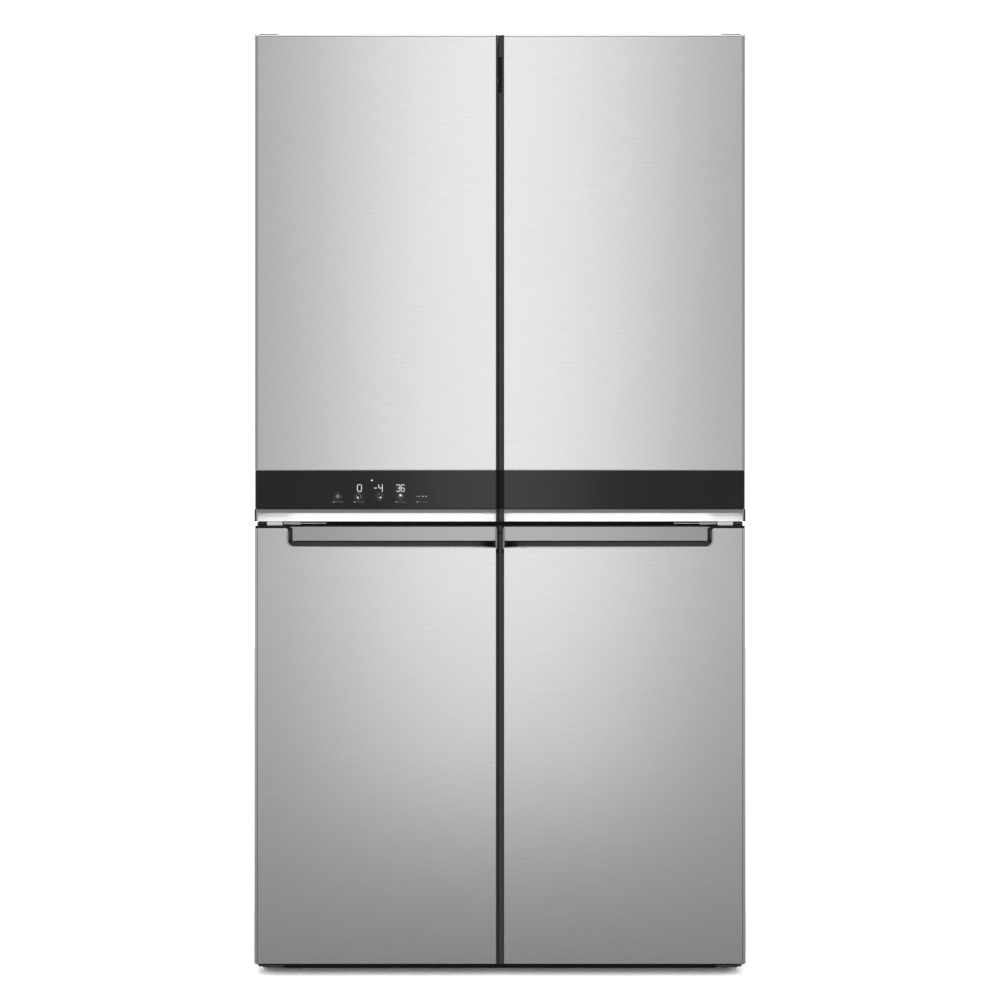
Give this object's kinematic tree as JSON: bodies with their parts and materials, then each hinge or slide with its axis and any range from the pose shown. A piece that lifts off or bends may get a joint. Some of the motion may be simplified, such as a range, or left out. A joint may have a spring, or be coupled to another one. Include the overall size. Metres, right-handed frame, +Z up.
{
  "type": "refrigerator",
  "caption": "French door refrigerator with tall upper doors over freezer doors, black glass band, recessed grips, shelves, bins and drawers.",
  "frame": {"origin": "centre of the bounding box on the floor plane under the feet", "axes": "+X to the viewer's right when facing the doors, -Y out of the doors, +Z up"},
  "size_m": [0.905, 0.715, 1.744],
  "materials": {
    "door_steel": "fine-grained brushed stainless steel, satin",
    "black_glass": "opaque black glass, polished",
    "polished_aluminium": "polished aluminium",
    "edge_trim": "dark grey satin plastic",
    "cabinet_paint": "textured grey paint on steel",
    "galvanised": "galvanised sheet steel",
    "insulation": "foamed polyurethane, hidden",
    "liner_white": "white thermoformed plastic",
    "gasket_rubber": "grey flexible magnetic seal",
    "clear_plastic": "clear moulded plastic",
    "clear_glass": "clear tempered glass",
    "frame_plastic": "white moulded plastic",
    "lamp_diffuser": "milky diffuser",
    "flap_plastic": "grey plastic with a steel face",
    "hinge_steel": "bright zinc-plated steel",
    "dark_plastic": "black moulded plastic",
    "compressor_paint": "black enamel",
    "fin_aluminium": "bare aluminium fins and tubes",
    "foot_plastic": "black plastic and steel",
    "roller_plastic": "black nylon"
  },
  "bodies": {
    "cabinet": {"cabinet_shell": "cabinet_paint", "cabinet_foam": "insulation", "back_panel": "galvanised", "fridge_liner": "liner_white", "freezer_liners": "liner_white", "base_frame": "galvanised", "kickplate": "dark_plastic", "hinge_brackets": "hinge_steel", "hinge_covers": "dark_plastic", "air_tower": "liner_white", "freezer_air_covers": "liner_white", "heat_exchangers": "fin_aluminium", "compressor": "compressor_paint", "machine_cover": "galvanised", "power_inlet": "dark_plastic", "shelf_glass": "clear_glass", "shelf_frames": "frame_plastic", "light_strips": "lamp_diffuser"},
    "upper_door_left": {"upper_skin_left": "door_steel", "glass_band_left": "black_glass", "handle_cove_left": "polished_aluminium", "upper_foam_left": "insulation", "upper_trim_left": "edge_trim", "upper_gasket_left": "gasket_rubber", "upper_liner_left": "liner_white", "upper_bins_left": "clear_plastic"},
    "upper_door_right": {"upper_skin_right": "door_steel", "glass_band_right": "black_glass", "handle_cove_right": "polished_aluminium", "upper_foam_right": "insulation", "upper_trim_right": "edge_trim", "upper_gasket_right": "gasket_rubber", "upper_liner_right": "liner_white", "upper_bins_right": "clear_plastic"},
    "lower_door_left": {"lower_skin_left": "door_steel", "lower_foam_left": "insulation", "lower_trim_left": "edge_trim", "lower_gasket_left": "gasket_rubber", "lower_liner_left": "liner_white", "lower_bins_left": "clear_plastic"},
    "lower_door_right": {"lower_skin_right": "door_steel", "lower_foam_right": "insulation", "lower_trim_right": "edge_trim", "lower_gasket_right": "gasket_rubber", "lower_liner_right": "liner_white", "lower_bins_right": "clear_plastic"},
    "flap": {"mullion_flap": "flap_plastic"},
    "crisper_left": {"crisper_left": "clear_plastic"},
    "crisper_right": {"crisper_right": "clear_plastic"},
    "freezer_drawer_low_left": {"drawer_low_left": "clear_plastic"},
    "freezer_drawer_low_right": {"drawer_low_right": "clear_plastic"},
    "freezer_drawer_mid_left": {"drawer_mid_left": "clear_plastic"},
    "freezer_drawer_mid_right": {"drawer_mid_right": "clear_plastic"},
    "freezer_drawer_top_left": {"drawer_top_left": "clear_plastic"},
    "freezer_drawer_top_right": {"drawer_top_right": "clear_plastic"},
    "foot_left": {"foot_left": "foot_plastic"},
    "foot_right": {"foot_right": "foot_plastic"},
    "roller_left": {"roller_left": "roller_plastic"},
    "roller_right": {"roller_right": "roller_plastic"},
    "fan": {"condenser_fan": "dark_plastic"}
  },
  "joints": [
    {"name": "upper_left_hinge", "type": "hinge", "parent": "cabinet", "child": "upper_door_left", "pos_m": [-0.441, -0.33, 0.837], "axis": [0, 0, -1], "range_deg": [0, 130]},
    {"name": "upper_right_hinge", "type": "hinge", "parent": "cabinet", "child": "upper_door_right", "pos_m": [0.441, -0.33, 0.837], "axis": [0, 0, 1], "range_deg": [0, 130]},
    {"name": "lower_left_hinge", "type": "hinge", "parent": "cabinet", "child": "lower_door_left", "pos_m": [-0.441, -0.33, 0.022], "axis": [0, 0, -1], "range_deg": [0, 130]},
    {"name": "lower_right_hinge", "type": "hinge", "parent": "cabinet", "child": "lower_door_right", "pos_m": [0.441, -0.33, 0.022], "axis": [0, 0, 1], "range_deg": [0, 130]},
    {"name": "flap_hinge", "type": "hinge", "parent": "upper_door_left", "child": "flap", "pos_m": [-0.026, -0.277, 0.886], "axis": [0, 0, 1], "range_deg": [-90, 0]},
    {"name": "crisper_left_slide", "type": "slide", "parent": "cabinet", "child": "crisper_left", "axis": [0, -1, 0], "range_m": [0, 0.24]},
    {"name": "crisper_right_slide", "type": "slide", "parent": "cabinet", "child": "crisper_right", "axis": [0, -1, 0], "range_m": [0, 0.24]},
    {"name": "drawer_low_left_slide", "type": "slide", "parent": "cabinet", "child": "freezer_drawer_low_left", "axis": [0, -1, 0], "range_m": [0, 0.24]},
    {"name": "drawer_low_right_slide", "type": "slide", "parent": "cabinet", "child": "freezer_drawer_low_right", "axis": [0, -1, 0], "range_m": [0, 0.24]},
    {"name": "drawer_mid_left_slide", "type": "slide", "parent": "cabinet", "child": "freezer_drawer_mid_left", "axis": [0, -1, 0], "range_m": [0, 0.24]},
    {"name": "drawer_mid_right_slide", "type": "slide", "parent": "cabinet", "child": "freezer_drawer_mid_right", "axis": [0, -1, 0], "range_m": [0, 0.24]},
    {"name": "drawer_top_left_slide", "type": "slide", "parent": "cabinet", "child": "freezer_drawer_top_left", "axis": [0, -1, 0], "range_m": [0, 0.24]},
    {"name": "drawer_top_right_slide", "type": "slide", "parent": "cabinet", "child": "freezer_drawer_top_right", "axis": [0, -1, 0], "range_m": [0, 0.24]},
    {"name": "foot_left_turn", "type": "hinge", "parent": "cabinet", "child": "foot_left", "pos_m": [-0.433, -0.255, 0], "axis": [0, 0, 1], "continuous": true},
    {"name": "foot_right_turn", "type": "hinge", "parent": "cabinet", "child": "foot_right", "pos_m": [0.433, -0.255, 0], "axis": [0, 0, 1], "continuous": true},
    {"name": "roller_left_turn", "type": "hinge", "parent": "cabinet", "child": "roller_left", "pos_m": [-0.433, 0.3, 0.014], "axis": [1, 0, 0], "continuous": true},
    {"name": "roller_right_turn", "type": "hinge", "parent": "cabinet", "child": "roller_right", "pos_m": [0.433, 0.3, 0.014], "axis": [1, 0, 0], "continuous": true},
    {"name": "fan_spin", "type": "hinge", "parent": "cabinet", "child": "fan", "pos_m": [0.103, 0.255, 0.14], "axis": [1, 0, 0], "continuous": true}
  ],
  "couplings": [
    {"joint": "crisper_left_slide", "follows": "upper_left_hinge", "m_per_rad": 0.1057},
    {"joint": "crisper_right_slide", "follows": "upper_right_hinge", "m_per_rad": 0.1057},
    {"joint": "drawer_low_left_slide", "follows": "lower_left_hinge", "m_per_rad": 0.1057},
    {"joint": "drawer_low_right_slide", "follows": "lower_right_hinge", "m_per_rad": 0.1057},
    {"joint": "drawer_mid_left_slide", "follows": "lower_left_hinge", "m_per_rad": 0.1057},
    {"joint": "drawer_mid_right_slide", "follows": "lower_right_hinge", "m_per_rad": 0.1057},
    {"joint": "drawer_top_left_slide", "follows": "lower_left_hinge", "m_per_rad": 0.1057},
    {"joint": "drawer_top_right_slide", "follows": "lower_right_hinge", "m_per_rad": 0.1057}
  ]
}
